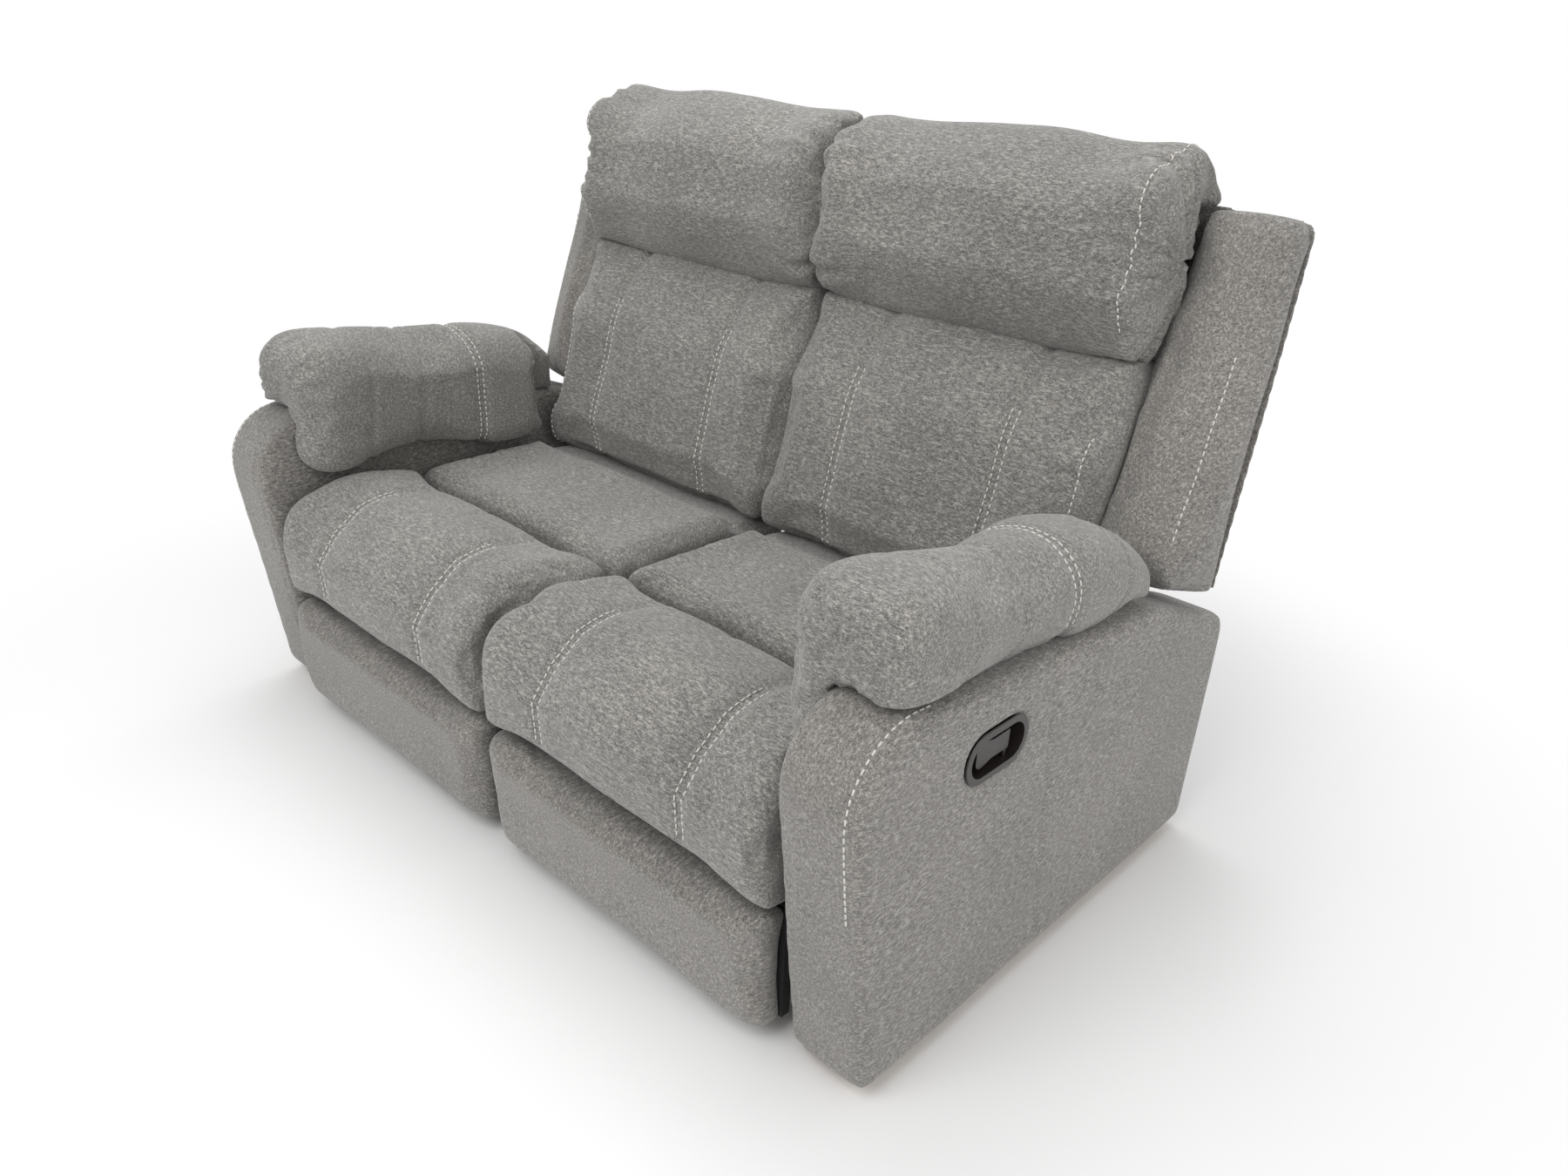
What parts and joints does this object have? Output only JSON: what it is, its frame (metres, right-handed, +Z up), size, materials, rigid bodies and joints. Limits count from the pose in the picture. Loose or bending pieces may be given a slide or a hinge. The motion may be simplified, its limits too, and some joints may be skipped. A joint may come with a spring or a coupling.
{
  "type": "reclining loveseat",
  "caption": "Upholstered loveseat with separately reclining backs, gliding seats, fold-out footrests on link mechanisms and a recessed release lever in the arm.",
  "frame": {"origin": "centre of the object's footprint on the floor", "axes": "+X to the sitter's left as seen from the front, along the width; -Y to the front; +Z up"},
  "size_m": [1.48, 0.9092, 1.0694],
  "materials": {
    "fabric": "heathered woven upholstery",
    "timber": "plywood and softwood, unfinished",
    "steel": "black coated steel",
    "webbing": "elastic webbing",
    "handle_plastic": "moulded, satin gloss",
    "foot_plastic": "moulded glide"
  },
  "bodies": {
    "base": {"front_rail": "timber", "rear_rail": "timber", "base_plates": "steel", "feet": "foot_plastic", "arm_frame_right": "timber", "arm_cover_right": "fabric", "arm_pad_right": "fabric", "handle_cup_right": "handle_plastic", "arm_frame_left": "timber", "arm_cover_left": "fabric", "arm_pad_left": "fabric", "handle_cup_left": "handle_plastic"},
    "handle_right": {"handle_lever_right": "handle_plastic"},
    "seat_right": {"seat_frame_right": "timber", "seat_webbing_right": "webbing", "seat_plates_right": "steel", "seat_cushion_right": "fabric", "front_cushion_right": "fabric"},
    "swing_front_right": {"swing_links_front_right": "steel"},
    "swing_rear_right": {"swing_links_rear_right": "steel"},
    "back_drive_right": {"back_drive_links_right": "steel"},
    "back_right": {"back_frame_right": "timber", "back_brackets_right": "steel", "back_cover_right": "fabric", "lumbar_cushion_right": "fabric", "head_cushion_right": "fabric", "wing_right": "fabric"},
    "rest_rear_right": {"footrest_rear_links_right": "steel", "footrest_tube_right": "steel"},
    "rest_front_right": {"footrest_front_links_right": "steel"},
    "rest_lower_right": {"footrest_lower_links_right": "steel"},
    "rest_upper_right": {"footrest_upper_links_right": "steel"},
    "footrest_right": {"footrest_brackets_right": "steel", "footrest_board_right": "timber", "footrest_pad_right": "fabric"},
    "handle_left": {"handle_lever_left": "handle_plastic"},
    "seat_left": {"seat_frame_left": "timber", "seat_webbing_left": "webbing", "seat_plates_left": "steel", "seat_cushion_left": "fabric", "front_cushion_left": "fabric"},
    "swing_front_left": {"swing_links_front_left": "steel"},
    "swing_rear_left": {"swing_links_rear_left": "steel"},
    "back_drive_left": {"back_drive_links_left": "steel"},
    "back_left": {"back_frame_left": "timber", "back_brackets_left": "steel", "back_cover_left": "fabric", "lumbar_cushion_left": "fabric", "head_cushion_left": "fabric", "wing_left": "fabric"},
    "rest_rear_left": {"footrest_rear_links_left": "steel", "footrest_tube_left": "steel"},
    "rest_front_left": {"footrest_front_links_left": "steel"},
    "rest_lower_left": {"footrest_lower_links_left": "steel"},
    "rest_upper_left": {"footrest_upper_links_left": "steel"},
    "footrest_left": {"footrest_brackets_left": "steel", "footrest_board_left": "timber", "footrest_pad_left": "fabric"}
  },
  "joints": [
    {"name": "recline_right", "type": "hinge", "parent": "base", "child": "swing_front_right", "pos_m": [0.302, -0.22495, 0.09374], "axis": [1, 0, 0], "range_deg": [0, 24]},
    {"name": "seat_level_right", "type": "hinge", "parent": "swing_front_right", "child": "seat_right", "pos_m": [0.302, -0.18, 0.205], "axis": [-1, 0, 0], "range_deg": [0, 24.01]},
    {"name": "rear_swing_right", "type": "hinge", "parent": "base", "child": "swing_rear_right", "pos_m": [0.302, 0.10505, 0.09374], "axis": [1, 0, 0], "range_deg": [0, 24.01]},
    {"name": "back_tilt_right", "type": "hinge", "parent": "seat_right", "child": "back_right", "pos_m": [0.302, 0.326, 0.335], "axis": [-1, 0, 0], "range_deg": [0, 24.01]},
    {"name": "back_drive_right", "type": "hinge", "parent": "swing_rear_right", "child": "back_drive_right", "pos_m": [0.302, 0.15832, 0.24413], "axis": [-1, 0, 0], "range_deg": [0, 24.01]},
    {"name": "footrest_right", "type": "hinge", "parent": "seat_right", "child": "rest_rear_right", "pos_m": [0.302, -0.305, 0.19], "axis": [-1, 0, 0], "range_deg": [0, 93]},
    {"name": "rest_front_right", "type": "hinge", "parent": "rest_rear_right", "child": "rest_front_right", "pos_m": [0.302, -0.305, 0.04], "axis": [1, 0, 0], "range_deg": [0, 123.51]},
    {"name": "rest_lower_right", "type": "hinge", "parent": "seat_right", "child": "rest_lower_right", "pos_m": [0.302, -0.33655, 0.16041], "axis": [-1, 0, 0], "range_deg": [0, 100.2]},
    {"name": "rest_board_right", "type": "hinge", "parent": "rest_front_right", "child": "footrest_right", "pos_m": [0.302, -0.34256, 0.18522], "axis": [-1, 0, 0], "range_deg": [0, 123.51]},
    {"name": "rest_upper_right", "type": "hinge", "parent": "rest_rear_right", "child": "rest_upper_right", "pos_m": [0.302, -0.2993, 0.06331], "axis": [1, 0, 0], "range_deg": [0, 123.51]},
    {"name": "handle_right", "type": "hinge", "parent": "base", "child": "handle_right", "pos_m": [0.729, -0.171, 0.435], "axis": [0, 0, 1], "range_deg": [0, 32], "stiffness_Nm_per_rad": 0.4},
    {"name": "recline_left", "type": "hinge", "parent": "base", "child": "swing_front_left", "pos_m": [-0.302, -0.22495, 0.09374], "axis": [1, 0, 0], "range_deg": [0, 24]},
    {"name": "seat_level_left", "type": "hinge", "parent": "swing_front_left", "child": "seat_left", "pos_m": [-0.302, -0.18, 0.205], "axis": [-1, 0, 0], "range_deg": [0, 24.01]},
    {"name": "rear_swing_left", "type": "hinge", "parent": "base", "child": "swing_rear_left", "pos_m": [-0.302, 0.10505, 0.09374], "axis": [1, 0, 0], "range_deg": [0, 24.01]},
    {"name": "back_tilt_left", "type": "hinge", "parent": "seat_left", "child": "back_left", "pos_m": [-0.302, 0.326, 0.335], "axis": [-1, 0, 0], "range_deg": [0, 24.01]},
    {"name": "back_drive_left", "type": "hinge", "parent": "swing_rear_left", "child": "back_drive_left", "pos_m": [-0.302, 0.15832, 0.24413], "axis": [-1, 0, 0], "range_deg": [0, 24.01]},
    {"name": "footrest_left", "type": "hinge", "parent": "seat_left", "child": "rest_rear_left", "pos_m": [-0.302, -0.305, 0.19], "axis": [-1, 0, 0], "range_deg": [0, 93]},
    {"name": "rest_front_left", "type": "hinge", "parent": "rest_rear_left", "child": "rest_front_left", "pos_m": [-0.302, -0.305, 0.04], "axis": [1, 0, 0], "range_deg": [0, 123.51]},
    {"name": "rest_lower_left", "type": "hinge", "parent": "seat_left", "child": "rest_lower_left", "pos_m": [-0.302, -0.33655, 0.16041], "axis": [-1, 0, 0], "range_deg": [0, 100.2]},
    {"name": "rest_board_left", "type": "hinge", "parent": "rest_front_left", "child": "footrest_left", "pos_m": [-0.302, -0.34256, 0.18522], "axis": [-1, 0, 0], "range_deg": [0, 123.51]},
    {"name": "rest_upper_left", "type": "hinge", "parent": "rest_rear_left", "child": "rest_upper_left", "pos_m": [-0.302, -0.2993, 0.06331], "axis": [1, 0, 0], "range_deg": [0, 123.51]},
    {"name": "handle_left", "type": "hinge", "parent": "base", "child": "handle_left", "pos_m": [-0.729, -0.171, 0.435], "axis": [0, 0, -1], "range_deg": [0, 32], "stiffness_Nm_per_rad": 0.4}
  ],
  "couplings": [
    {"joint": "seat_level_right", "follows": "recline_right", "ratio": 1},
    {"joint": "rear_swing_right", "follows": "recline_right", "ratio": 1},
    {"joint": "back_tilt_right", "follows": "recline_right", "ratio": 1},
    {"joint": "back_drive_right", "follows": "recline_right", "ratio": 1},
    {"joint": "rest_front_right", "follows": "footrest_right", "ratio": 1.328},
    {"joint": "rest_lower_right", "follows": "footrest_right", "ratio": 1.0763},
    {"joint": "rest_board_right", "follows": "footrest_right", "ratio": 1.328},
    {"joint": "rest_upper_right", "follows": "footrest_right", "ratio": 1.328},
    {"joint": "seat_level_left", "follows": "recline_left", "ratio": 1},
    {"joint": "rear_swing_left", "follows": "recline_left", "ratio": 1},
    {"joint": "back_tilt_left", "follows": "recline_left", "ratio": 1},
    {"joint": "back_drive_left", "follows": "recline_left", "ratio": 1},
    {"joint": "rest_front_left", "follows": "footrest_left", "ratio": 1.328},
    {"joint": "rest_lower_left", "follows": "footrest_left", "ratio": 1.0763},
    {"joint": "rest_board_left", "follows": "footrest_left", "ratio": 1.328},
    {"joint": "rest_upper_left", "follows": "footrest_left", "ratio": 1.328}
  ]
}
